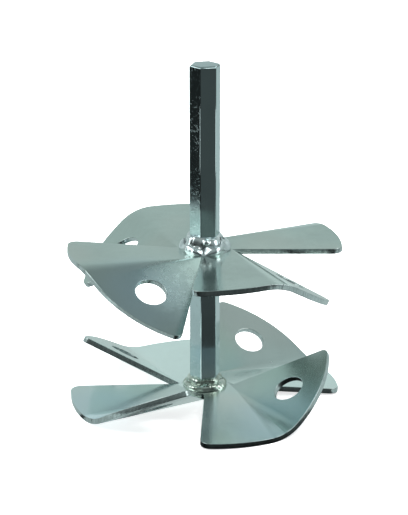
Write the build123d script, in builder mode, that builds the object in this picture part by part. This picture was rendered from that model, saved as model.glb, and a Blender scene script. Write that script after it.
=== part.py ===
"""Propeller mixing paddle: a hexagon bar with two four-bladed propellers welded to it.

Each propeller is one round blank of sheet steel, slit four times towards its centre. The corner
of every blade behind the slit is bent over, in a bend that opens like a cone from the end of the
slit, and the whole blade leans a little the other way. The upper propeller's corners point down
and the lower one's point up, so that the two throw the mix towards each other.

The axis of the bar is Z. The paddle stands on its lower propeller, with Z = 0 on the ground.
"""
import os
from math import atan2, cos, degrees, radians, sin, sqrt, tan

from build123d import *

# Blank, as it is cut from flat sheet
blank_diameter = 120.0
sheet = 2.5
blade_count = 4
slit_angle = 0.8            # the slit widens by this many degrees out of its end
slit_land = 5.0             # sheet left between the bar's corner and the end of a slit
leading_corner_radius = 4.5
trailing_corner_radius = 3.0

# Forming
bend_line_angle = 38.0      # where the bend meets the rim, from the blade's leading edge
bend_turn = 36.0            # the bend's turn about the axis of its cone
bend_cone_half_angle = 28.0
blade_lean = 2.8            # the blade's lean about its root, away from its bent corner

# Hole in the bent corner of each blade
hole_diameter = 13.5
hole_radius_on_blank = 43.7
hole_angle = 66.2           # from the blade's leading edge

# Hexagon bar
bar_across_flats = 12.0
bar_above_lower_propeller = 146.3
bar_end_stub = 1.0          # below the lower propeller's underside
bar_end_chamfer = 0.8
bar_face_angle = -13.0      # one flat of the bar looks this way

# Where the propellers sit on the bar
propeller_spacing = 64.2    # between the upper sides of the two hubs
upper_propeller_angle = -3.5

# Welds, one round the bar on the upper side of each propeller, in runs laid one on the other
weld_runs = 2
upper_weld_width = 4.3      # from the bar's corner to the toe
upper_weld_height = 7.0
lower_weld_width = 2.9
lower_weld_height = 5.2
run_crown = 0.55            # each run's crown stands this far out of a straight fillet

blank_radius = blank_diameter / 2
bar_corner_radius = bar_across_flats / sqrt(3)
slit_end_radius = bar_corner_radius + slit_land
pitch = 360 / blade_count
hub_thickness = sheet / cos(radians(blade_lean))


def on_blank(radius, angle):
    """A point of the flat blank; the blade's leading edge lies at angle 0."""
    return Vector(radius * cos(radians(angle)), radius * sin(radians(angle)))


slit_end = on_blank(slit_end_radius, pitch)
root_start = on_blank(slit_end_radius, 0)
bend_line = on_blank(blank_radius, bend_line_angle) - slit_end
bend_heading = degrees(atan2(bend_line.Y, bend_line.X))
bend_spread = bend_turn * sin(radians(bend_cone_half_angle))
bend_start_heading = bend_heading - bend_spread / 2
bend_end_heading = bend_heading + bend_spread / 2


def reach(heading):
    """How far the rim of the blank is from the end of the slit, in this direction."""
    along = slit_end.dot(on_blank(1, heading))
    return sqrt(blank_radius**2 - slit_end_radius**2 + along**2) - along


def rim_point(heading):
    """The point of the rim that lies in this direction from the end of the slit."""
    return slit_end + on_blank(reach(heading), heading)


# The cone of the bend has its tip at the end of the slit and its axis below the sheet
first_ruling = on_blank(1, bend_start_heading)
half_angle = radians(bend_cone_half_angle)
cone_axis = Axis(slit_end, Vector(0, 0, 1) * sin(half_angle) - first_ruling * cos(half_angle))


def turned(direction, turn):
    """A direction carried round the axis of the bend's cone."""
    return direction.rotate(cone_axis, turn)


def bend_section_plane(turn):
    """The plane through one ruling of the bend, square to the sheet: X along it, Y out of it."""
    ruling = turned(first_ruling, turn)
    outward = turned(Vector(0, 0, 1), turn)
    return Plane(origin=slit_end, x_dir=ruling, z_dir=ruling.cross(outward))


def bent_blank_plane():
    """The plane of the bent corner, with the blank's own coordinates carried along in it."""
    outward = turned(Vector(0, 0, 1), bend_turn)
    ruling = turned(first_ruling, bend_turn)
    blank_x = ruling.rotate(Axis((0, 0, 0), outward), -bend_end_heading)
    blank_y = outward.cross(blank_x)
    centre = slit_end - blank_x * slit_end.X - blank_y * slit_end.Y
    return Plane(origin=centre, x_dir=blank_x, z_dir=outward)


# The flat part of a blade, from its leading edge to the start of the bend. It runs on under the
# hub, where the root cut takes it off.
root_overrun = sheet
rim_mid_angle = degrees(atan2(rim_point(bend_start_heading).Y, rim_point(bend_start_heading).X)) / 2
root_middle = (slit_end + root_start) / 2
root_outward = root_middle.normalized()
with BuildPart() as flat_part:
    with BuildSketch() as flat_outline:
        with BuildLine():
            Line(root_start, on_blank(blank_radius, 0))
            ThreePointArc(
                on_blank(blank_radius, 0),
                on_blank(blank_radius, rim_mid_angle),
                rim_point(bend_start_heading),
            )
            Line(rim_point(bend_start_heading), slit_end)
            Polyline(
                slit_end,
                slit_end - root_outward * root_overrun,
                root_start - root_outward * root_overrun,
                root_start,
            )
        make_face()
        leading_corner = flat_outline.vertices().sort_by_distance(on_blank(blank_radius, 0))[0]
        fillet(leading_corner, leading_corner_radius)
    extrude(amount=-sheet)

# The bend: a sector of a cone of sheet, whose rim is the blank's own, rolled up with it
rim_sections = 7
trim_margin = sheet
with BuildPart() as bend_part:
    with BuildSketch(bend_section_plane(0)):
        with BuildLine():
            Polyline(
                (0, 0),
                (blank_radius, 0),
                (blank_radius, -sheet),
                (sheet / tan(half_angle), -sheet),
                close=True,
            )
        make_face()
    revolve(axis=cone_axis, revolution_arc=bend_turn)
    for step in range(rim_sections):
        turn = bend_turn * step / (rim_sections - 1)
        rim_distance = reach(bend_start_heading + turn * sin(half_angle))
        with BuildSketch(bend_section_plane(turn)):
            with Locations((rim_distance, -sheet / 2)):
                Rectangle(
                    blank_radius,
                    sheet + 2 * trim_margin,
                    align=(Align.MIN, Align.CENTER),
                )
    loft(mode=Mode.SUBTRACT)

# The bent corner, from the end of the bend to the trailing edge, with its hole
trailing_edge_angle = pitch - slit_angle
bend_end_point = rim_point(bend_end_heading)
bend_end_angle = degrees(atan2(bend_end_point.Y, bend_end_point.X))
with BuildPart() as bent_part:
    with BuildSketch(bent_blank_plane()) as bent_outline:
        with BuildLine():
            Line(slit_end, bend_end_point)
            ThreePointArc(
                bend_end_point,
                on_blank(blank_radius, (bend_end_angle + trailing_edge_angle) / 2),
                on_blank(blank_radius, trailing_edge_angle),
            )
            Line(on_blank(blank_radius, trailing_edge_angle), slit_end)
        make_face()
        trailing_tip = on_blank(blank_radius, trailing_edge_angle)
        trailing_corner = bent_outline.vertices().sort_by_distance(trailing_tip)[0]
        fillet(trailing_corner, trailing_corner_radius)
        with Locations(on_blank(hole_radius_on_blank, hole_angle)):
            Circle(hole_diameter / 2, mode=Mode.SUBTRACT)
    extrude(amount=-sheet)

# One formed blade, leaning upwards about its root, and cut off there square to the hub
root_axis = Axis(root_middle, slit_end - root_start)
with BuildPart() as blade:
    add(flat_part.part)
    add(bend_part.part)
    add(bent_part.part)
leaning_blade = blade.part.rotate(root_axis, -blade_lean)
with BuildPart() as rooted_blade:
    add(leaning_blade)
    split(bisect_by=Plane(origin=root_middle, z_dir=root_outward), keep=Keep.TOP)

# The whole propeller, with the upper side of its hub at Z = 0 and no hole for the bar yet
with BuildPart() as propeller:
    with BuildSketch():
        RegularPolygon(slit_end_radius, blade_count)
    extrude(amount=-hub_thickness)
    with PolarLocations(0, blade_count):
        add(rooted_blade.part)

# Heights, from the lowest rim of the lower propeller up
lower_underside = propeller.part.bounding_box().max.Z
lower_top = lower_underside + hub_thickness
upper_top = lower_top + propeller_spacing
bar_bottom = lower_underside - bar_end_stub
bar_top = lower_top + bar_above_lower_propeller

with BuildPart() as hex_bar:
    with BuildSketch(Plane.XY.offset(bar_bottom)):
        RegularPolygon(
            bar_across_flats / 2, 6, major_radius=False, rotation=bar_face_angle - 30
        )
    extrude(amount=bar_top - bar_bottom)
    end_faces = hex_bar.faces().filter_by(Axis.Z)
    chamfer(end_faces.edges(), bar_end_chamfer)

with BuildPart() as upper_propeller:
    with Locations((0, 0, upper_top)):
        add(propeller.part, rotation=(0, 0, upper_propeller_angle))
    add(hex_bar.part, mode=Mode.SUBTRACT)

with BuildPart() as lower_propeller:
    with Locations((0, 0, lower_underside)):
        add(propeller.part.mirror(Plane.XY))
    add(hex_bar.part, mode=Mode.SUBTRACT)


def lay_weld(top, width, height, plate):
    """A weld round the bar on a plate: runs laid one on the other, cut to fit both."""
    toe = Vector(bar_corner_radius + width, 0)
    last = Vector(bar_across_flats / 2, height)
    step = (last - toe) / weld_runs
    outward = Vector(step.Y, -step.X).normalized()
    with BuildPart() as weld:
        with BuildSketch(Plane(origin=(0, 0, top), x_dir=(1, 0, 0), z_dir=(0, -1, 0))):
            with BuildLine():
                for run in range(weld_runs):
                    low = toe + step * run
                    Polyline(low, low + step / 2 + outward * run_crown, low + step)
                Polyline(last, (0, last.Y), (0, -sheet / 2), (toe.X, -sheet / 2), toe)
            make_face()
        revolve(axis=Axis.Z)
        add(plate, mode=Mode.SUBTRACT)
        add(hex_bar.part, mode=Mode.SUBTRACT)
    return weld


upper_weld = lay_weld(upper_top, upper_weld_width, upper_weld_height, upper_propeller.part)
lower_weld = lay_weld(lower_top, lower_weld_width, lower_weld_height, lower_propeller.part)

pieces = {
    "hex_bar": hex_bar,
    "upper_propeller": upper_propeller,
    "lower_propeller": lower_propeller,
    "upper_weld": upper_weld,
    "lower_weld": lower_weld,
}
os.makedirs("parts", exist_ok=True)
for name, piece in pieces.items():
    piece.part.label = name
    export_step(piece.part, f"parts/{name}.step")
    print(name, piece.part.is_valid, len(piece.part.solids()), round(piece.part.volume, 1))
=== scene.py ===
"""Looks of the propeller mixing paddle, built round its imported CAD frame.

A hexagon bar carries two formed propellers, each welded on. Every piece replaces one CAD solid and
stands in its place. Sizes are in millimetres and angles in degrees until a piece is finished, and
then its mesh goes to metres. The studio's sizes are in metres, apart from the camera's.
"""
import logging
import math
from dataclasses import dataclass, field
from enum import Enum
from typing import Any, Optional, Union

import bmesh
import bpy
from bmesh.types import BMEdge, BMesh, BMFace, BMVert
from bpy.types import Material, NodeSocket, NodeTree, Object
from mathutils import Matrix, Vector, noise


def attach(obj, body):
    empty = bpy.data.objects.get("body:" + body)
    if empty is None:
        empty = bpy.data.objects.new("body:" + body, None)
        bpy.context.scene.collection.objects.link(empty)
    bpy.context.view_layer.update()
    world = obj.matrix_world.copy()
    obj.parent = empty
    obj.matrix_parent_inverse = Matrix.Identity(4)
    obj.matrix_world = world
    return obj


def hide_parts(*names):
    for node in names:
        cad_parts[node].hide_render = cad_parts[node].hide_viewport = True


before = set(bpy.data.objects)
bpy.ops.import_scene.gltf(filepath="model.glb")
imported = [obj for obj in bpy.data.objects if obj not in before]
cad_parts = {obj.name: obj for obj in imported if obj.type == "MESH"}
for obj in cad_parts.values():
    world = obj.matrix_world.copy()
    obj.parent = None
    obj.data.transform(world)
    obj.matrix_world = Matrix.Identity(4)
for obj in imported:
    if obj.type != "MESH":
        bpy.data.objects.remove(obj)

MM = 0.001
LOG = logging.getLogger("paddle")
Colour = tuple[float, float, float, float]
Tint = tuple[float, float, float]
Point = tuple[float, float, float]

# Distances below these, in millimetres, count as none
TOLERANCE = 1e-3
FINE_TOLERANCE = 1e-4

# Colours of the light from the room, from the soft boxes and from overhead
ROOM_TINT: Tint = (0.83, 1.0, 0.985)
BOX_TINT: Tint = (0.93, 1.0, 0.99)
WHITE: Tint = (1.0, 1.0, 1.0)


class Wire:
    """One output socket of a node tree. Python's operators on it add Math nodes."""

    def __init__(self, bench: "NodeBench", socket: NodeSocket) -> None:
        """Keeps the socket and the bench that it belongs to."""
        self.bench = bench
        self.socket = socket

    def _maths(self, operation: str, first: "Value", second: "Value") -> "Wire":
        """Adds one Math node for two inputs and gives its output."""
        return self.bench.add("ShaderNodeMath", {"operation": operation}, {0: first, 1: second})

    def __add__(self, other: "Value") -> "Wire":
        """self + other."""
        return self._maths("ADD", self, other)

    def __sub__(self, other: "Value") -> "Wire":
        """self - other."""
        return self._maths("SUBTRACT", self, other)

    def __rsub__(self, other: "Value") -> "Wire":
        """other - self."""
        return self._maths("SUBTRACT", other, self)

    def __mul__(self, other: "Value") -> "Wire":
        """self * other."""
        return self._maths("MULTIPLY", self, other)

    __radd__ = __add__
    __rmul__ = __mul__

    def step(self, low: float, high: float) -> "Wire":
        """A smooth step of this value, 0 at low and 1 at high."""
        sockets = {"Value": self, "From Min": low, "From Max": high}
        return self.bench.add("ShaderNodeMapRange", {"interpolation_type": "SMOOTHSTEP"}, sockets)


Value = Union[Wire, float, int]


class NodeBench:
    """Adds nodes to one node tree."""

    def __init__(self, tree: NodeTree) -> None:
        """Clears the tree and keeps it."""
        self.tree = tree
        self.tree.nodes.clear()

    def add(
        self,
        kind: str,
        settings: Optional[dict[str, Any]] = None,
        sockets: Optional[dict[Union[int, str], Any]] = None,
        out: Union[int, str] = 0,
    ) -> Wire:
        """Adds one node.

        Args:
            kind: the node's type name.
            settings: its properties, set before the sockets. "stops" is a ramp's list of places
                and colours.
            sockets: the value or the Wire of each input, by name or place.
            out: the output that is wanted.

        Returns:
            That output.
        """
        node = self.tree.nodes.new(kind)
        for name, value in (settings or {}).items():
            if name == "stops":
                stops = node.color_ramp.elements
                while len(stops) < len(value):
                    stops.new(0.5)
                for stop, (place, colour) in zip(stops, value):
                    stop.position = place
                    stop.color = colour
            else:
                setattr(node, name, value)
        for name, value in (sockets or {}).items():
            if isinstance(value, Wire):
                self.tree.links.new(value.socket, node.inputs[name])
            else:
                node.inputs[name].default_value = value
        outputs = node.outputs
        return Wire(self, outputs[out] if len(outputs) else node.inputs[0])

    def mix(self, factor: Value, first: Any, second: Any, blend: str = "MIX") -> Wire:
        """Mixes two colours, from factor 0 for the first to 1 for the second."""
        settings = {"data_type": "RGBA", "blend_type": blend}
        return self.add("ShaderNodeMix", settings, {0: factor, 6: first, 7: second}, out=2)

    def measure(self, operation: str, first: Any, second: Any) -> Wire:
        """The value of a Vector Math node, such as the distance of two places."""
        settings = {"operation": operation}
        return self.add("ShaderNodeVectorMath", settings, {0: first, 1: second}, out="Value")

    def place(self) -> Wire:
        """Object coordinates."""
        return self.add("ShaderNodeTexCoord", out="Object")

    def stretched(self, scale: Point) -> Wire:
        """Object coordinates, scaled along each axis."""
        return self.add("ShaderNodeMapping", None, {"Vector": self.place(), "Scale": scale})

    def noise(self, scale: float, detail: float, vector: Optional[Wire] = None) -> Wire:
        """A noise round 0.5, read at the object coordinates unless a vector is given."""
        sockets = {"Scale": scale, "Detail": detail, "Roughness": 0.55}
        return self.add("ShaderNodeTexNoise", None, {"Vector": vector or self.place(), **sockets})


@dataclass(frozen=True)
class Finish:
    """What the finishes share: two shades and how rough they are."""

    name: str
    light: Colour
    dark: Colour
    roughness: float

    def start(self) -> tuple[Material, NodeBench]:
        """Makes an empty node material.

        Returns:
            The material and the bench for its nodes.
        """
        material = bpy.data.materials.new(self.name)
        material.use_nodes = True
        return material, NodeBench(material.node_tree)

    def close(self, bench: NodeBench, colour: Wire, roughness: Wire, height: Wire) -> None:
        """Adds the shader of plated metal, with its bump, and the output.

        Args:
            bench: the material's bench.
            colour: the colour over the surface.
            roughness: the roughness over the surface.
            height: the height of the surface, in metres.
        """
        normal = bench.add("ShaderNodeBump", None, {"Strength": 1.0, "Distance": 1.0, "Height": height})
        shader = bench.add(
            "ShaderNodeBsdfPrincipled",
            None,
            {"Base Color": colour, "Roughness": roughness, "Metallic": 1.0, "Normal": normal},
        )
        bench.add("ShaderNodeOutputMaterial", None, {"Surface": shader})


@dataclass(frozen=True)
class Spot:
    """A soft round area on a piece."""

    middle: Point
    radius: float

    def mask(self, bench: NodeBench) -> Wire:
        """A mask that is 1 at the heart of the spot and 0 past its radius."""
        away = bench.measure("DISTANCE", bench.place(), tuple(MM * x for x in self.middle))
        return 1 - away.step(0.3 * MM * self.radius, MM * self.radius)


@dataclass(frozen=True)
class SheetFinish(Finish):
    """Bright zinc plating on the rolled sheet, with a patch of rougher crystals."""

    warm: Colour  # the shade that clouds it here and there
    cool: Colour  # the bluer shade where the bath drained off
    patch: Spot  # where the rougher crystals are
    cool_spots: tuple[Spot, Spot]

    def make(self) -> Material:
        """Builds the material.

        Returns:
            The material.
        """
        material, bench = self.start()
        cloud = bench.noise(26.0, 2.0)
        mottle = bench.noise(260.0, 3.0)
        grain = bench.noise(1500.0, 2.0)
        patch = self.patch.mask(bench)
        one, other = (spot.mask(bench) for spot in self.cool_spots)
        crystal = bench.add(
            "ShaderNodeTexVoronoi",
            {"feature": "F1"},
            {"Vector": bench.place(), "Scale": 950.0, "Randomness": 1.0},
            out="Distance",
        )

        # Flecks are the crystals' hearts, in loose groups
        fleck = (1 - crystal.step(0.1, 0.5)) * bench.noise(520.0, 2.0).step(0.42, 0.58)
        blush = bench.noise(15.0, 1.0).step(0.48, 0.62)
        rough_area = patch + 0.12 * cloud.step(0.5, 0.68)
        shade = cloud.step(0.36, 0.64) * 0.7 + mottle.step(0.3, 0.7) * 0.3
        colour = bench.mix(shade, self.dark, self.light)
        colour = bench.mix(blush * 0.35, colour, self.warm)
        drained = (one + other) * (0.55 + 0.45 * cloud.step(0.3, 0.7))
        colour = bench.mix(drained, colour, self.cool)
        pale = (0.9, 0.97, 0.97, 1.0)
        colour = bench.mix(patch * 0.1 + fleck * rough_area * 0.5, colour, pale)
        roughness = (
            self.roughness
            + 0.04 * cloud.step(0.4, 0.6)
            + 0.02 * mottle
            + 0.12 * patch * mottle.step(0.3, 0.6)
            + 0.05 * rough_area
        )
        height = cloud * 22e-6 + mottle * 1.0e-6 + grain * 0.15e-6 + fleck * rough_area * 14e-6
        self.close(bench, colour, roughness, height)
        return material


@dataclass(frozen=True)
class CutEdgeFinish(Finish):
    """Plating on the sheared edge of the sheet, with the shear's marks across it."""

    def make(self) -> Material:
        """Builds the material.

        Returns:
            The material.
        """
        material, bench = self.start()
        marks = bench.noise(1.0, 3.0, bench.stretched((1500.0, 1500.0, 180.0)))
        cloud = bench.noise(140.0, 3.0)
        tears = bench.noise(780.0, 2.0).step(0.4, 0.62)
        colour = bench.mix(marks.step(0.35, 0.65) * 0.6 + cloud * 0.4, self.dark, self.light)
        roughness = self.roughness + 0.08 * cloud + 0.05 * marks + 0.04 * tears
        height = marks * 3e-6 + cloud * 24e-6 + tears * 9e-6
        self.close(bench, colour, roughness, height)
        return material


@dataclass(frozen=True)
class DrawnBarFinish(Finish):
    """Plating on the drawn bar, with the die's fine lines along it and one rougher flat."""

    rough_flat: float  # the direction that the rougher flat faces, in radians from +X
    flat_distance: float  # how far that flat is from the bar's axis

    def make(self) -> Material:
        """Builds the material.

        Returns:
            The material.
        """
        material, bench = self.start()
        lines = bench.noise(1.0, 3.0, bench.stretched((2600.0, 2600.0, 14.0)))
        cloud = bench.noise(42.0, 3.0)
        facing = (math.cos(self.rough_flat), math.sin(self.rough_flat), 0.0)
        outwards = bench.measure("DOT_PRODUCT", bench.place(), facing)
        pits = bench.noise(850.0, 2.0)
        blotch = bench.noise(120.0, 2.0).step(0.34, 0.54)
        on_flat = outwards.step((self.flat_distance - 0.15) * MM, (self.flat_distance - 0.05) * MM)
        speck = pits.step(0.52, 0.66) * blotch * on_flat
        colour = bench.mix(cloud.step(0.35, 0.65) * 0.7 + lines * 0.3, self.dark, self.light)
        roughness = self.roughness + 0.03 * cloud + 0.04 * lines.step(0.4, 0.7) + 0.18 * speck
        height = lines * 0.5e-6 + cloud * 12e-6 + speck * 9e-6
        self.close(bench, colour, roughness, height)
        return material


@dataclass(frozen=True)
class WeldFinish(Finish):
    """Plating over a weld, with painted shade that darkens it where its runs and ripples meet."""

    # The colour of the shade painted down where they meet
    crevice: Colour  # down where they meet

    def make(self) -> Material:
        """Builds the material.

        Returns:
            The material.
        """
        material, bench = self.start()
        depth = bench.add("ShaderNodeAttribute", {"attribute_name": "crevice"}, out="Fac")
        cloud = bench.noise(240.0, 3.0)
        grain = bench.noise(1300.0, 2.0)
        colour = bench.mix(cloud.step(0.35, 0.65), self.dark, self.light)
        # Painted shade: the colour darkens with the crevices' depth
        colour = bench.mix(depth.step(0.25, 0.95), colour, self.crevice)
        roughness = self.roughness + 0.08 * cloud + 0.3 * depth.step(0.3, 1.0)
        height = cloud * 26e-6 + grain * 1.2e-6
        self.close(bench, colour, roughness, height)
        return material


@dataclass(frozen=True)
class FloorFinish(Finish):
    """Pale matt paper with some light of its own, which keeps the shadows on it pale."""

    glow: float

    def make(self) -> Material:
        """Builds the material.

        Returns:
            The material.
        """
        material, bench = self.start()
        colour = bench.mix(bench.noise(5.0, 2.0), self.dark, self.light)
        lit = {"Emission Color": colour, "Emission Strength": self.glow}
        sockets = {"Base Color": colour, "Roughness": self.roughness, **lit}
        shader = bench.add("ShaderNodeBsdfPrincipled", None, sockets)
        bench.add("ShaderNodeOutputMaterial", None, {"Surface": shader})
        return material


def open_piece(name: str, mesh: BMesh, finishes: list[Material]) -> Object:
    """Puts a bmesh, still in millimetres, in a new object.

    Args:
        name: the object's name.
        mesh: the bmesh, which is freed.
        finishes: the materials, one for each slot.

    Returns:
        The object.
    """
    data = bpy.data.meshes.new(name)
    mesh.to_mesh(data)
    mesh.free()
    for finish in finishes:
        data.materials.append(finish)
    piece = bpy.data.objects.new(name, data)
    bpy.context.scene.collection.objects.link(piece)
    return piece


def round_off(mesh: BMesh, edges: list[BMEdge], width: float, segments: int) -> None:
    """Bevels some edges.

    Args:
        mesh: the bmesh that they belong to.
        edges: the edges.
        width: how far the bevel comes in from each edge.
        segments: one makes a chamfer, and more make a rounding.
    """
    bmesh.ops.bevel(
        mesh, geom=edges, offset=width, segments=segments, profile=0.5, affect="EDGES", material=-1
    )


def spun_end(spun: dict[str, Any]) -> BMVert:
    """The vertex on which a spin of one vertex ends."""
    return next(part for part in spun["geom_last"] if isinstance(part, BMVert))


def join_up(mesh: BMesh, chain: list[BMVert]) -> None:
    """Joins each vertex of a chain to the next one with an edge."""
    for one, other in zip(chain, chain[1:]):
        mesh.edges.new((one, other))


def direction(angle: float) -> Vector:
    """The level direction at an angle in radians from +X."""
    return Vector((math.cos(angle), math.sin(angle), 0))


def clamp(value: float) -> float:
    """The value, held between 0 and 1."""
    return max(0.0, min(1.0, value))


def waver(place: Vector, rate: float, offset: Point) -> float:
    """A value from -1 to 1 that changes smoothly from place to place, faster at a higher rate."""
    return noise.noise(place * rate + Vector(offset))


def settle(piece: Object) -> None:
    """Applies a piece's modifiers to its mesh.

    Args:
        piece: the piece.
    """
    depsgraph = bpy.context.evaluated_depsgraph_get()
    done = bpy.data.meshes.new_from_object(piece.evaluated_get(depsgraph), depsgraph=depsgraph)
    worn = piece.data
    piece.modifiers.clear()
    piece.data = done
    bpy.data.meshes.remove(worn)
    done.name = piece.name


def finish_piece(piece: Object, node: str) -> None:
    """Takes a piece to metres, smooths its shading and puts it in its CAD solid's place.

    Args:
        piece: the piece, in millimetres.
        node: the CAD node that it replaces.
    """
    piece.data.transform(Matrix.Scale(MM, 4))
    piece.data.shade_smooth()
    weights = piece.modifiers.new("even_shading", "WEIGHTED_NORMAL")
    weights.mode = "FACE_AREA"
    weights.weight = 50
    weights.keep_sharp = False
    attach(piece, "root")
    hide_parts(node)
    finishes = ", ".join(finish.name for finish in piece.data.materials)
    LOG.info("%s: %d faces, %s", piece.name, len(piece.data.polygons), finishes)


@dataclass
class HexBar:
    """The drawn hexagon bar that carries both propellers."""

    name: str = "drawn_hex_bar"
    across_flats: float = 12.0
    face_angle: float = -13.0  # the direction that one flat faces, from +X
    bottom: float = 1.4245
    top: float = 151.2275
    corner_rounding: float = 0.45
    end_chamfer: float = 0.8

    @property
    def corner_radius(self) -> float:
        """How far a sharp corner would be from the bar's axis."""
        return self.across_flats / math.sqrt(3)

    def prism(self, mesh: BMesh, low: float, high: float, facing: float) -> None:
        """Adds a hexagon prism of the bar's size.

        Args:
            mesh: the bmesh that takes it.
            low: the height of its lower end.
            high: the height of its upper end.
            facing: the direction that one of its flats faces, from +X.
        """
        seat = Matrix.Translation((0, 0, (low + high) / 2))
        bmesh.ops.create_cone(
            mesh,
            cap_ends=True,
            segments=6,
            radius1=self.corner_radius,
            radius2=self.corner_radius,
            depth=high - low,
            matrix=seat @ Matrix.Rotation(math.radians(facing), 4, "Z"),
        )

    def build(self, finish: Material) -> Object:
        """Builds the bar.

        Args:
            finish: the drawn bar's material.

        Returns:
            The finished piece.
        """
        mesh = bmesh.new()
        self.prism(mesh, self.bottom, self.top, self.face_angle)
        drops = [(edge, abs(edge.verts[0].co.z - edge.verts[1].co.z)) for edge in mesh.edges]
        ends = [edge for edge, drop in drops if drop < FINE_TOLERANCE]
        round_off(mesh, ends, self.end_chamfer, 1)
        nearly_whole = 0.8 * (self.top - self.bottom)
        corners = [e for e in mesh.edges if e.calc_length() > nearly_whole]
        round_off(mesh, corners, self.corner_rounding, 4)
        piece = open_piece(self.name, mesh, [finish])
        finish_piece(piece, "hex_bar")
        return piece


class CornersPoint(Enum):
    """Which way a propeller's bent corners point."""

    DOWN = "down"
    UP = "up"


@dataclass
class Propeller:
    """One four-bladed propeller, formed out of a round blank of sheet.

    Every blade is the same sector of the blank. Its angles are counted from its leading edge, and
    the slit behind it ends at the tip of the bend.
    """

    name: str
    node: str
    height: float  # of the hub's side away from the bent corners
    turn: float
    corners: CornersPoint
    bar: HexBar

    # The blank, as it is cut from flat sheet
    blank_radius: float = 60.0
    sheet: float = 2.5
    blades: int = 4
    slit_land: float = 5.0  # sheet left between the bar's corner and the end of a slit
    slit_angle: float = 0.8  # how much the slit widens on its way out
    leading_corner: float = 4.45
    trailing_corner: float = 3.0
    leading_clear: float = 4.6  # rim left for this corner's rounding, as an angle
    trailing_clear: float = 3.3

    # Forming
    bend_line_angle: float = 38.0  # where the middle of the bend meets the rim
    bend_turn: float = 36.0  # the bend's turn about the axis of its cone
    cone_half_angle: float = 28.0
    lean: float = 2.8  # the blade's lean about its root
    lean_ramp: float = 1.6  # the width of sheet over which the lean sets in

    # The hole in each bent corner, and the cut edges
    hole_diameter: float = 13.5
    hole_radius: float = 43.7
    hole_angle: float = 66.2
    edge_rounding: float = 0.28
    sharp_edge: float = 50.0  # two faces that meet at more than this make a cut edge

    # How finely a blade is cut up; the bend's strips are also cut across, to shade evenly
    rim_steps: int = 56
    bend_steps: int = 24
    bend_cuts: tuple[float, ...] = (5.5, 9.0, 16.0, 28.0, 40.0)

    # Worked out from these sizes
    slit_end: float = field(init=False)
    tip: Vector = field(init=False)
    root_middle: Vector = field(init=False)
    spread: float = field(init=False)
    bend_start: float = field(init=False)
    cone_axis: Vector = field(init=False)

    def __post_init__(self) -> None:
        """Works out the slit's end, the root and the bend's directions on the blank."""
        self.slit_end = self.bar.corner_radius + self.slit_land
        self.tip = Vector((0, self.slit_end, 0))
        self.root_middle = Vector((self.slit_end / 2, self.slit_end / 2, 0))
        line = self.on_blank(self.blank_radius, self.bend_line_angle) - self.tip
        half = math.radians(self.cone_half_angle)
        self.spread = math.radians(self.bend_turn) * math.sin(half)
        self.bend_start = math.atan2(line.y, line.x) - self.spread / 2
        ruling = direction(self.bend_start)
        self.cone_axis = Vector((0, 0, 1)) * math.sin(half) - ruling * math.cos(half)

    @staticmethod
    def on_blank(radius: float, angle: float) -> Vector:
        """A point of the flat blank, from its radius and its angle from the leading edge."""
        angle = math.radians(angle)
        return Vector((radius * math.cos(angle), radius * math.sin(angle), 0))

    def formed(self, flat: Vector) -> Vector:
        """Where the press takes one point of a blade's blank.

        Args:
            flat: the point on the flat blank.

        Returns:
            The point on the formed blade's outer surface.
        """
        ray = flat - self.tip
        past = math.atan2(ray.y, ray.x) - self.bend_start
        point = flat.copy()
        if past > 0 and ray.length > FINE_TOLERANCE:
            turn = min(past, self.spread) / math.sin(math.radians(self.cone_half_angle))
            along = direction(self.bend_start + max(past - self.spread, 0))
            point = self.tip + (Matrix.Rotation(turn, 3, self.cone_axis) @ along) * ray.length
        out = (flat.x + flat.y - self.slit_end) / math.sqrt(2)
        if out > 0:
            ramp = min(out / self.lean_ramp, 1)
            swing = Matrix.Rotation(math.radians(-self.lean * ramp), 3, Vector((-1, 1, 0)))
            point = self.root_middle + swing @ (point - self.root_middle)
        return point

    def sector_outline(self, mesh: BMesh) -> None:
        """Draws one blade with its share of the hub on the flat blank, as one face.

        Args:
            mesh: the empty bmesh that takes it.
        """
        trailing_edge = 360 / self.blades - self.slit_angle
        rim_length = math.radians(trailing_edge - self.trailing_clear - self.leading_clear)
        first = mesh.verts.new(self.on_blank(self.blank_radius, self.leading_clear))
        arc = bmesh.ops.spin(
            mesh,
            geom=[first],
            cent=(0, 0, 0),
            axis=(0, 0, 1),
            angle=rim_length,
            steps=self.rim_steps,
        )
        trailing = mesh.verts.new(self.on_blank(self.blank_radius, trailing_edge))
        slit = mesh.verts.new(self.tip)
        centre = mesh.verts.new((0, 0, 0))
        root = mesh.verts.new((self.slit_end, 0, 0))
        leading = mesh.verts.new(self.on_blank(self.blank_radius, 0))
        join_up(mesh, [spun_end(arc), trailing, slit, centre, root, leading, first])
        bmesh.ops.contextual_create(mesh, geom=mesh.edges[:])
        for corner, radius in ((leading, self.leading_corner), (trailing, self.trailing_corner)):
            bmesh.ops.bevel(
                mesh,
                geom=[corner],
                offset=radius,
                segments=9,
                profile=0.5,
                affect="VERTICES",
                material=-1,
            )
        if mesh.faces[:][0].normal.z < 0:
            bmesh.ops.reverse_faces(mesh, faces=mesh.faces[:])

    def flat_sector(self) -> BMesh:
        """Cuts one blade's sector of the blank again, along the lines that the press bends.

        Returns:
            The sector, as one layer of faces.
        """
        mesh = bmesh.new()
        self.sector_outline(mesh)
        outwards = Vector((1, 1, 0)).normalized()
        for out in (0.0, self.lean_ramp / 2, self.lean_ramp):
            self._cut(mesh, mesh.faces[:], self.root_middle + outwards * out, outwards)
        for step in range(self.bend_steps + 1):
            ruling = self.bend_start + self.spread * step / self.bend_steps
            self._cut(mesh, mesh.faces[:], self.tip, direction(ruling + math.pi / 2))
        along = direction(self.bend_start + self.spread / 2)
        for distance in self.bend_cuts:
            self._cut(mesh, self._bend_strips(mesh), self.tip + along * distance, along)
        return mesh

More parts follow.
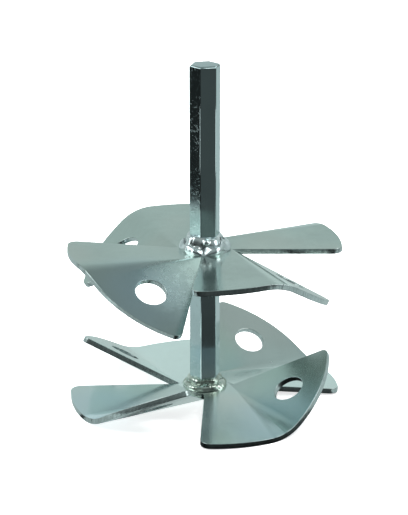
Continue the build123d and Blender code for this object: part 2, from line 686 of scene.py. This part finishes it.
    def _bend_strips(self, mesh: BMesh) -> list[BMFace]:
        """The faces of the flat blank that the press bends."""
        rays = [(face, face.calc_center_median() - self.tip) for face in mesh.faces]
        return [f for f, ray in rays if 0 < math.atan2(ray.y, ray.x) - self.bend_start < self.spread]

    @staticmethod
    def _cut(mesh: BMesh, faces: list[BMFace], point: Vector, normal: Vector) -> None:
        """Cuts some of the faces along a plane.

        Args:
            mesh: the bmesh that they belong to.
            faces: the faces.
            point: a point of the plane.
            normal: the plane's direction.
        """
        verts = sorted({v for face in faces for v in face.verts}, key=lambda v: v.index)
        edges = sorted({e for face in faces for e in face.edges}, key=lambda e: e.index)
        parts = verts + edges + faces
        bmesh.ops.bisect_plane(mesh, geom=parts, dist=FINE_TOLERANCE, plane_co=point, plane_no=normal)
        for table in (mesh.verts, mesh.edges, mesh.faces):
            table.index_update()

    def formed_layer(self) -> BMesh:
        """Presses one blade and repeats it round the hub.

        Returns:
            One layer of faces for the whole propeller.
        """
        mesh = self.flat_sector()
        for vert in mesh.verts:
            vert.co = self.formed(vert.co)
        pitch = 2 * math.pi / self.blades
        bmesh.ops.spin(
            mesh,
            geom=mesh.verts[:] + mesh.edges[:] + mesh.faces[:],
            cent=(0, 0, 0),
            axis=(0, 0, 1),
            angle=pitch * (self.blades - 1),
            steps=self.blades - 1,
            use_duplicate=True,
        )
        bmesh.ops.remove_doubles(mesh, verts=mesh.verts[:], dist=TOLERANCE)
        return mesh

    def punches(self) -> BMesh:
        """The tools that punch the blades' holes and the hub's hexagon, as closed solids.

        Returns:
            All of them in one bmesh.
        """
        mesh = bmesh.new()
        middle = self.on_blank(self.hole_radius, self.hole_angle)
        place = self.formed(middle)
        one_way = self.formed(middle + Vector((1, 0, 0))) - place
        other_way = self.formed(middle + Vector((0, 1, 0))) - place
        facing = one_way.cross(other_way).to_track_quat("Z", "Y")
        seat = Matrix.Translation(place) @ facing.to_matrix().to_4x4()
        reach = 3 * self.sheet
        for blade in range(self.blades):
            spin = Matrix.Rotation(2 * math.pi * blade / self.blades, 4, "Z")
            bmesh.ops.create_cone(
                mesh,
                cap_ends=True,
                segments=72,
                radius1=self.hole_diameter / 2,
                radius2=self.hole_diameter / 2,
                depth=2 * reach,
                matrix=spin @ seat,
            )
        self.bar.prism(mesh, -reach, reach, self.bar.face_angle - self.turn)
        for face in mesh.faces:
            face.material_index = 1
        return mesh

    def soften(self, mesh: BMesh) -> None:
        """Rounds the sheet's cut edges, except round the bar and right at the slits' ends.

        Args:
            mesh: the punched sheet.
        """
        turns = [2 * math.pi * blade / self.blades for blade in range(self.blades)]
        tips = [(Matrix.Rotation(turn, 3, "Z") @ self.tip).xy for turn in turns]
        bar_hole = 0.8 * self.slit_end
        clear_of_tip = 0.8
        chosen = []
        for edge in mesh.edges:
            if len(edge.link_faces) != 2 or edge.calc_face_angle(0) < math.radians(self.sharp_edge):
                continue
            from_tip = min((vert.co.xy - tip).length for vert in edge.verts for tip in tips)
            from_axis = max(vert.co.xy.length for vert in edge.verts)
            if from_tip > clear_of_tip and from_axis >= bar_hole:
                chosen.append(edge)
        round_off(mesh, chosen, self.edge_rounding, 2)

        # Where the rounding ends beside a slit's end it leaves folds thinner than this
        fold = 2e-4
        bmesh.ops.remove_doubles(mesh, verts=mesh.verts[:], dist=fold)

    def punched_sheet(self, finishes: list[Material]) -> Object:
        """Gives the formed layer the sheet's thickness and punches it.

        Args:
            finishes: the sheet's material and the cut edge's.

        Returns:
            The piece, with sharp edges and its bent corners down.
        """
        piece = open_piece(self.name, self.formed_layer(), finishes)
        tool = open_piece("punches", self.punches(), finishes)
        wall = piece.modifiers.new("sheet", "SOLIDIFY")
        wall.thickness = self.sheet
        wall.offset = -1
        wall.use_even_offset = True
        wall.use_quality_normals = True
        wall.material_offset_rim = 1
        punch = piece.modifiers.new("punched", "BOOLEAN")
        punch.object = tool
        punch.operation = "DIFFERENCE"
        punch.solver = "EXACT"
        settle(piece)
        bpy.data.objects.remove(tool)
        return piece

    def build(self, finishes: list[Material]) -> Object:
        """Builds the propeller.

        Args:
            finishes: the sheet's material and the cut edge's.

        Returns:
            The finished piece.
        """
        piece = self.punched_sheet(finishes)
        mesh = bmesh.new()
        mesh.from_mesh(piece.data)
        bmesh.ops.remove_doubles(mesh, verts=mesh.verts[:], dist=TOLERANCE)
        self.soften(mesh)
        if self.corners is CornersPoint.UP:
            bmesh.ops.scale(mesh, verts=mesh.verts[:], vec=(1, 1, -1))
            bmesh.ops.reverse_faces(mesh, faces=mesh.faces[:])
        turn = Matrix.Rotation(math.radians(self.turn), 3, "Z")
        bmesh.ops.rotate(mesh, verts=mesh.verts[:], cent=(0, 0, 0), matrix=turn)
        bmesh.ops.translate(mesh, verts=mesh.verts[:], vec=(0, 0, self.height))
        mesh.to_mesh(piece.data)
        mesh.free()
        finish_piece(piece, self.node)
        return piece


@dataclass(frozen=True)
class Lump:
    """One blob of weld metal, where a run starts, stops or is laid twice."""

    heading: float  # its direction round the bar, from +X
    level: float  # its place up the section, 0 at the toe and 1 at the bar
    reach: float  # how far it spreads
    rise: float  # how far it stands out; below 0 it is a crater

    def shift(self, angle: float, level: float, section: float, middle_radius: float) -> float:
        """How far it lifts one place of the weld.

        Args:
            angle: the place's direction round the bar, in radians.
            level: its place up the section.
            section: the section's length, in millimetres.
            middle_radius: the radius of the section's middle, in millimetres.

        Returns:
            The lift in millimetres.
        """
        turn = (angle - math.radians(self.heading) + math.pi) % (2 * math.pi) - math.pi
        away = math.hypot(turn * middle_radius, (level - self.level) * section) / self.reach
        return self.rise * math.exp(-(away**3))


@dataclass
class WeldBead:
    """A weld round the bar: two runs, one laid on the other, with ripples and lumps.

    A place on it is told by its direction round the bar and by its level, which is 0 at the toe on
    the plate and 1 up at the bar.
    """

    name: str
    node: str
    plate: float  # the height of the plate that it stands on
    width: float  # from the bar's corner to the toe
    height: float
    bar: HexBar
    base_crown: float = 0.25  # how far each plain run stands out of a straight fillet
    crown: float = 0.3  # how much further the wandering runs stand out
    wander: float = 0.5  # how much the seam between the runs wanders up and down
    swell: float = 1.0  # how much the runs swell and shrink
    ripple: float = 0.05  # how high the ripples are
    ripples: int = 12
    drift: float = 0.8  # how unevenly the ripples are spaced
    bow: float = 0.3  # how far they bow back at the sides of a run
    fold_rate: float = 1.5  # how quickly the swelling changes along the weld
    unevenness: float = 0.22  # a finer one, as a share of the swelling
    # The dark of the seams below is painted shade
    seam_width: float = 0.1  # the dark seams' width, as a share of a run
    crevice_depth: float = 0.16
    lumps: tuple[Lump, ...] = ()
    seed: float = 0.0  # sets the patterns of the two welds apart
    steps_round: int = 300
    steps_run: int = 14

    def profile(self, mesh: BMesh) -> None:
        """Draws the weld's half section, each run an arc, closed under the plate and in the bar.

        Args:
            mesh: the empty bmesh that takes it.
        """
        toe = Vector((self.bar.corner_radius + self.width, 0, 0))
        last = Vector((self.bar.across_flats / 2, 0, self.height))
        stride = (last - toe) / 2
        outward = Vector((stride.z, 0, -stride.x)).normalized()
        sweep = 4 * math.atan(2 * self.base_crown / stride.length)
        radius = stride.length / 2 / math.sin(sweep / 2)
        start = mesh.verts.new(toe)
        vert = start
        for run in (0, 1):
            low = toe + stride * run
            centre = low + stride / 2 - outward * (radius * math.cos(sweep / 2))
            arc = bmesh.ops.spin(
                mesh, geom=[vert], cent=centre, axis=(0, -1, 0), angle=sweep, steps=self.steps_run
            )
            vert = spun_end(arc)
        sunk = 0.6
        inner = [
            Vector((last.x - sunk, 0, last.z - sunk / 3)),
            Vector((last.x - sunk, 0, -sunk)),
            Vector((toe.x, 0, -sunk)),
        ]
        join_up(mesh, [vert] + [mesh.verts.new(point) for point in inner] + [start])

    def relief(self, angle: float, level: float) -> tuple[float, float]:
        """How far the weld's surface stands out of its plain runs.

        Args:
            angle: the direction round the bar, in radians.
            level: the place up the section, 0 at the toe and 1 at the bar.

        Returns:
            The outward shift in millimetres, and the crevice depth, 0 to 1, which sets painted shade.
        """
        place = direction(angle)
        seam = 0.5 + self.wander * waver(place, 1.4, (self.seed, 0, 0))
        run = 0 if level < seam else 1
        within = level / seam if run == 0 else (level - seam) / (1 - seam)
        off_middle = (2 * within - 1) ** 2
        crown = self.crown * (1 - off_middle)

        # Ripples lie across each run, and bow back at its sides
        bow = self.bow * off_middle * (1 if run else -1)
        drift = self.drift * waver(place, 1.9, (self.seed, run * 3.1, 0))
        phase = self.ripples * angle / (2 * math.pi) + bow + drift + run * 0.4
        wave = abs(math.sin(math.pi * phase))

        # Slow swelling with a finer unevenness on it, and the lumps
        rate = self.fold_rate
        fold = waver(place, rate, (run * 4.7, self.seed, level * rate))
        small = waver(place, 3.6, (self.seed, 1.7, level * 2.8))
        swelling = self.swell * (fold + self.unevenness * small)
        section = math.hypot(self.width, self.height)
        middle_radius = self.bar.across_flats / 2 + self.width / 2
        blobs = sum(lump.shift(angle, level, section, middle_radius) for lump in self.lumps)
        shift = crown + self.ripple * (wave**0.7 - 0.6) + swelling + blobs

        # Crevices get painted shade: the seams beside a run, the valleys between ripples and the hollows
        seam_share = clamp((0.5 + waver(place, 1.8, (self.seed, 5.1, 0))) * 1.4)
        seams = clamp(1 - min(within, 1 - within) / self.seam_width) * seam_share
        valleys = clamp(1 - wave / 0.2)
        hollows = max(0.0, -blobs) + max(0.0, -fold - 0.12)
        depth = clamp(0.8 * seams + 0.3 * valleys + 0.9 * hollows)

        # The relief is a quarter as high at the toe and at the bar, where the weld runs out
        fade = clamp(level / 0.08) * clamp((1 - level) / 0.06)
        return shift * (0.25 + 0.75 * fade), depth

    def emboss(self, mesh: BMesh) -> None:
        """Moves the surface by its relief, and keeps the crevices' depth for the finish's painted shade.

        Args:
            mesh: the plain weld, standing on Z = 0.
        """
        toe = self.bar.corner_radius + self.width
        inside = self.bar.across_flats / 2
        crevice_shade_layer = mesh.verts.layers.float.new("crevice")
        shifts: list[tuple[BMVert, Vector]] = []
        for vert in mesh.verts:
            from_axis = math.hypot(vert.co.x, vert.co.y)
            if vert.co.z < -TOLERANCE or from_axis < inside - TOLERANCE:
                continue
            inwards = (toe - from_axis) / (toe - inside)
            level = clamp((inwards + vert.co.z / self.height) / 2)
            shift, depth = self.relief(math.atan2(vert.co.y, vert.co.x), level)
            vert[crevice_shade_layer] = depth
            shifts.append((vert, vert.normal * (shift - self.crevice_depth * depth)))
        for vert, shift in shifts:
            vert.co += shift

    def build(self, finish: Material) -> Object:
        """Builds the weld.

        Args:
            finish: the weld's material.

        Returns:
            The finished piece.
        """
        mesh = bmesh.new()
        self.profile(mesh)
        bmesh.ops.spin(
            mesh,
            geom=mesh.verts[:] + mesh.edges[:],
            cent=(0, 0, 0),
            axis=(0, 0, 1),
            angle=2 * math.pi,
            steps=self.steps_round,
            use_merge=True,
        )
        bmesh.ops.recalc_face_normals(mesh, faces=mesh.faces[:])
        mesh.normal_update()
        self.emboss(mesh)
        bmesh.ops.translate(mesh, verts=mesh.verts[:], vec=(0, 0, self.plate))
        piece = open_piece(self.name, mesh, [finish])
        finish_piece(piece, self.node)
        return piece


@dataclass
class Paddle:
    """The whole mixing paddle: bar, propellers and welds."""

    bar: HexBar = field(default_factory=HexBar)
    upper_turn: float = -3.5

    # Heights of the hubs' sides
    lower_underside: float = 2.4245
    lower_top: float = 4.9275
    upper_top: float = 69.1275

    def build_bar(self) -> Object:
        """Builds the bar, whose flat towards the front left is the rougher one.

        Returns:
            The finished piece.
        """
        finish = DrawnBarFinish(
            "zinc_on_drawn_bar",
            light=(0.68, 0.8, 0.82, 1),
            dark=(0.6, 0.71, 0.73, 1),
            roughness=0.06,
            rough_flat=math.radians(self.bar.face_angle - 120),
            flat_distance=self.bar.across_flats / 2,
        )
        return self.bar.build(finish.make())

    def build_propellers(self) -> list[Object]:
        """Builds the two propellers, which share the plating of their cut edges.

        Returns:
            The finished pieces, the upper one first.
        """
        edge = CutEdgeFinish(
            "zinc_on_cut_edges", light=(0.74, 0.8, 0.8, 1), dark=(0.46, 0.52, 0.52, 1), roughness=0.11
        ).make()
        upper_sheet = SheetFinish(
            "zinc_on_upper_sheet",
            light=(0.68, 0.78, 0.74, 1),
            dark=(0.6, 0.69, 0.655, 1),
            roughness=0.135,
            warm=(0.78, 0.76, 0.71, 1),
            cool=(0.6, 0.73, 0.79, 1),
            patch=Spot((-12, -29, 62), 22),
            cool_spots=(Spot((-27, -38, 52), 34), Spot((42, 30, 60), 16)),
        )
        lower_sheet = SheetFinish(
            "zinc_on_lower_sheet",
            light=(0.83, 0.93, 0.91, 1),
            dark=(0.76, 0.85, 0.83, 1),
            roughness=0.17,
            warm=(0.93, 0.89, 0.85, 1),
            cool=(0.72, 0.86, 0.94, 1),
            patch=Spot((30, 24, 12), 12),
            cool_spots=(Spot((-46, -26, 4), 32), Spot((34, -42, 10), 38)),
        )
        upper = Propeller(
            "upper_formed_propeller",
            node="upper_propeller",
            height=self.upper_top,
            turn=self.upper_turn,
            corners=CornersPoint.DOWN,
            bar=self.bar,
        )
        lower = Propeller(
            "lower_formed_propeller",
            node="lower_propeller",
            height=self.lower_underside,
            turn=0.0,
            corners=CornersPoint.UP,
            bar=self.bar,
        )
        return [upper.build([upper_sheet.make(), edge]), lower.build([lower_sheet.make(), edge])]

    def build_welds(self) -> list[Object]:
        """Builds the two welds, the upper one wide and lumpy, the lower one in olive rings.

        Returns:
            The finished pieces, the upper one first.
        """
        # Each weld's darkest colour is shade painted into its crevices
        bright = WeldFinish(
            "zinc_on_upper_weld",
            light=(0.93, 0.96, 0.97, 1),
            dark=(0.78, 0.84, 0.86, 1),
            roughness=0.08,
            crevice=(0.06, 0.08, 0.09, 1),
        )
        olive = WeldFinish(
            "zinc_on_lower_weld",
            light=(0.78, 0.84, 0.77, 1),
            dark=(0.44, 0.5, 0.43, 1),
            roughness=0.12,
            crevice=(0.05, 0.07, 0.06, 1),
        )
        upper = WeldBead(
            "upper_weld_runs",
            node="upper_weld",
            plate=self.upper_top,
            width=4.3,
            height=7.0,
            bar=self.bar,
            seed=2.3,
            lumps=(
                Lump(-128, 0.75, 2.8, 0.9),
                Lump(-140, 0.25, 2.2, 0.9),
                Lump(-110, 0.2, 2.0, 0.8),
                Lump(-82, 0.68, 1.3, 0.9),
                Lump(-92, 0.34, 2.0, -0.8),
                Lump(-50, 0.6, 3.2, 1.0),
                Lump(-58, 0.16, 2.0, 0.6),
                Lump(10, 0.4, 3.0, 0.7),
                Lump(58, 0.7, 2.6, 0.7),
                Lump(95, 0.3, 3.2, 0.7),
                Lump(140, 0.6, 2.6, 0.8),
                Lump(-175, 0.35, 2.8, 0.6),
            ),
        )
        lower = WeldBead(
            "lower_weld_runs",
            node="lower_weld",
            plate=self.lower_top,
            width=2.9,
            height=5.2,
            bar=self.bar,
            base_crown=0.2,
            crown=0.45,
            wander=0.22,
            swell=0.55,
            ripple=0.08,
            ripples=21,
            seed=7.9,
        )
        return [upper.build(bright.make()), lower.build(olive.make())]

    def build(self) -> list[Object]:
        """Builds and dresses every piece."""
        return [self.build_bar(), *self.build_propellers(), *self.build_welds()]


@dataclass
class Card:
    """One soft light or reflector card, with its place and size in metres."""

    name: str
    place: Point
    aim: Point  # the point that it faces
    size: tuple[float, float]
    radiance: float
    on_metal: bool = True  # whether the metal mirrors it; otherwise it lights the floor only
    colour: Tint = ROOM_TINT

    @classmethod
    def on_floor(
        cls, name: str, middle: tuple[float, float], size: tuple[float, float], radiance: float
    ) -> "Card":
        """A card that lies just under the floor, which hides it, and faces up to the metal."""
        return cls(name, (*middle, -0.004), (*middle, 1.0), size, radiance)

    @classmethod
    def face_down(cls, name: str, place: Point, size: tuple[float, float], radiance: float) -> "Card":
        """A card that hangs over the paddle and faces straight down."""
        return cls(name, place, (place[0], place[1], 0.0), size, radiance)

    def build(self) -> None:
        """Adds the light to the scene."""
        light = bpy.data.lights.new(self.name, "AREA")
        light.shape = "RECTANGLE"
        light.size, light.size_y = self.size

        # An area light's power is its radiance times pi times its area
        light.energy = self.radiance * math.pi * self.size[0] * self.size[1]
        light.color = self.colour
        lamp = bpy.data.objects.new(self.name, light)
        lamp.location = self.place
        towards = Vector(self.aim) - Vector(self.place)
        lamp.rotation_euler = towards.to_track_quat("-Z", "Y").to_euler()
        lamp.visible_camera = False
        lamp.visible_glossy = self.on_metal
        lamp.visible_diffuse = not self.on_metal
        bpy.context.scene.collection.objects.link(lamp)


@dataclass
class Studio:
    """The pale floor, the soft light and the camera of the photograph."""

    camera_yaw: float = 2.05  # its turn about the bar, away from -Y
    camera_elevation: float = 18.94  # how far it looks down
    camera_distance: float = 788.1
    camera_target: Point = (-0.354, 0.0, 64.83)
    focal_length: float = 125.86
    film_width: float = 36.0
    floor_size: float = 6.0  # in metres

    def build_camera(self) -> None:
        """Places the camera at the photograph's angle."""
        camera = bpy.data.cameras.new("camera")
        camera.lens = self.focal_length
        camera.sensor_width = self.film_width
        camera.sensor_fit = "AUTO"
        camera.clip_start = 0.01
        camera.clip_end = 50
        stand = bpy.data.objects.new("camera", camera)
        yaw, up = math.radians(self.camera_yaw), math.radians(self.camera_elevation)
        back = Vector((math.sin(yaw) * math.cos(up), -math.cos(yaw) * math.cos(up), math.sin(up)))
        stand.location = (Vector(self.camera_target) + back * self.camera_distance) * MM
        stand.rotation_euler = (-back).to_track_quat("-Z", "Y").to_euler()
        bpy.context.scene.collection.objects.link(stand)
        bpy.context.scene.camera = stand

    def build_floor(self) -> None:
        """Lays the pale floor."""
        finish = FloorFinish(
            "pale_floor", light=(0.9, 0.9, 0.9, 1), dark=(0.86, 0.865, 0.87, 1), roughness=0.9, glow=0.85
        )
        mesh = bmesh.new()
        bmesh.ops.create_grid(mesh, x_segments=1, y_segments=1, size=self.floor_size / 2)
        floor = open_piece("floor", mesh, [finish.make()])
        floor.visible_glossy = False

    @staticmethod
    def tones_by_height(bench: NodeBench, up: Wire, tones: list[tuple[float, float]]) -> Wire:
        """A grey for each ray, from pairs of its height, 0 at the nadir to 1 overhead, and the tone."""
        stops = [(place, (tone, tone, tone, 1.0)) for place, tone in tones]
        return bench.add("ShaderNodeValToRGB", {"stops": stops}, {"Fac": up * 0.5 + 0.5})

    def build_surroundings(self) -> None:
        """Makes the room that the metal mirrors: bright behind, dark towards the camera."""
        world = bpy.data.worlds.new("studio_room")
        bpy.context.scene.world = world
        world.use_nodes = True
        bench = NodeBench(world.node_tree)
        ray = bench.add("ShaderNodeTexCoord", out="Generated")
        right, back, up = (
            bench.add("ShaderNodeSeparateXYZ", None, {"Vector": ray}, out=axis) for axis in "XYZ"
        )
        below_horizon = [(0.0, 0.03), (0.48, 0.04)]
        above_horizon = [(0.5, 0.46), (0.58, 0.5), (0.66, 0.52), (0.74, 0.54)]
        overhead = [(0.82, 0.38), (0.9, 0.27), (1.0, 0.28)]
        behind_tones = below_horizon + above_horizon + overhead
        front_tones = [(0.0, 0.008), (0.26, 0.012), (0.34, 0.07), (0.5, 0.07), (0.62, 0.1), (0.85, 0.34)]
        behind = self.tones_by_height(bench, up, behind_tones)
        before = self.tones_by_height(bench, up, front_tones)
        above_floor = up.step(-0.05, 0.05)

        # In front the room is darkest below and to the left
        low_left = (1 - right.step(-0.9, 0.1)) * (1 - above_floor)
        before = bench.mix(low_left * 0.8, before, (0.0, 0.0, 0.0, 1.0))
        behind_share = (back + 0.55 * above_floor).step(-0.15, 0.45)
        room = bench.mix(behind_share, before, behind)
        tinted = bench.mix(1.0, room, (*ROOM_TINT, 1.0), "MULTIPLY")

        # The backdrop itself is plain white
        seen = bench.add("ShaderNodeLightPath", out="Is Camera Ray")
        colour = bench.mix(seen, tinted, (*WHITE, 1.0))
        glow = bench.add("ShaderNodeBackground", None, {"Color": colour, "Strength": 1.0})
        bench.add("ShaderNodeOutputWorld", None, {"Surface": glow})

    def build_cards(self) -> None:
        """Hangs the soft boxes and lays the reflector cards."""
        foot = (0.0, 0.0, 0.05)
        weld = (0.0, -0.004, 0.072)
        cards = [
            Card("overhead_box", (0.0, 0.0, 1.6), (0.0, 0.0, 0.0), (2.4, 2.4), 5.0, False, WHITE),
            Card.on_floor("floor_card", (0.495, 0.76), (1.61, 1.48), 0.52),
            Card.on_floor("left_near_card", (-0.149, 0.0), (0.322, 0.04), 0.52),
            Card.on_floor("right_near_card", (0.213, 0.0), (0.295, 0.04), 0.52),
            Card.on_floor("far_floor_card", (-0.755, 0.8), (0.89, 1.4), 0.5),
            Card.on_floor("left_floor_card", (-0.17, -0.09), (0.1, 0.14), 0.5),
            Card.on_floor("right_floor_card", (0.2, -0.09), (0.16, 0.14), 0.5),
            Card("low_back_card", (-0.21, 0.26, 0.06), (-0.21, 0.0, 0.06), (0.58, 0.115), 0.2),
            Card.face_down("back_canopy", (0.07, 0.14, 0.155), (0.18, 0.1), 0.1),
            Card.face_down("right_canopy", (0.1, 0.035, 0.155), (0.12, 0.11), 0.1),
            Card("left_box", (-0.93, -0.24, 0.95), foot, (0.95, 0.85), 1.35, colour=BOX_TINT),
            Card("right_box", (0.95, -0.3, 0.85), foot, (0.85, 0.8), 1.35, colour=BOX_TINT),
            Card.on_floor("front_floor_card", (-0.085, -0.08), (0.12, 0.11), 0.45),
            Card.face_down("bar_side_card", (0.025, 0.011, 0.157), (0.032, 0.032), 0.6),
            Card(
                "left_glint_card", (-0.09, -0.042, 0.094), weld, (0.036, 0.034), 1.35, colour=BOX_TINT
            ),
            Card(
                "right_glint_card", (0.09, -0.036, 0.094), weld, (0.044, 0.034), 1.35, colour=BOX_TINT
            ),
        ]
        for card in cards:
            card.build()

    def build(self) -> None:
        """Builds the camera, the floor and the light."""
        scene = bpy.context.scene
        scene.view_settings.view_transform = "Standard"
        scene.view_settings.look = "None"
        self.build_camera()
        self.build_floor()
        self.build_surroundings()
        self.build_cards()
        LOG.info("studio: camera, floor, light")


def main() -> None:
    """Builds the studio and the paddle."""
    logging.basicConfig(level=logging.INFO, format="%(name)s: %(message)s")
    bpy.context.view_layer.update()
    Studio().build()
    pieces = Paddle().build()


if __name__ == "__main__":
    main()
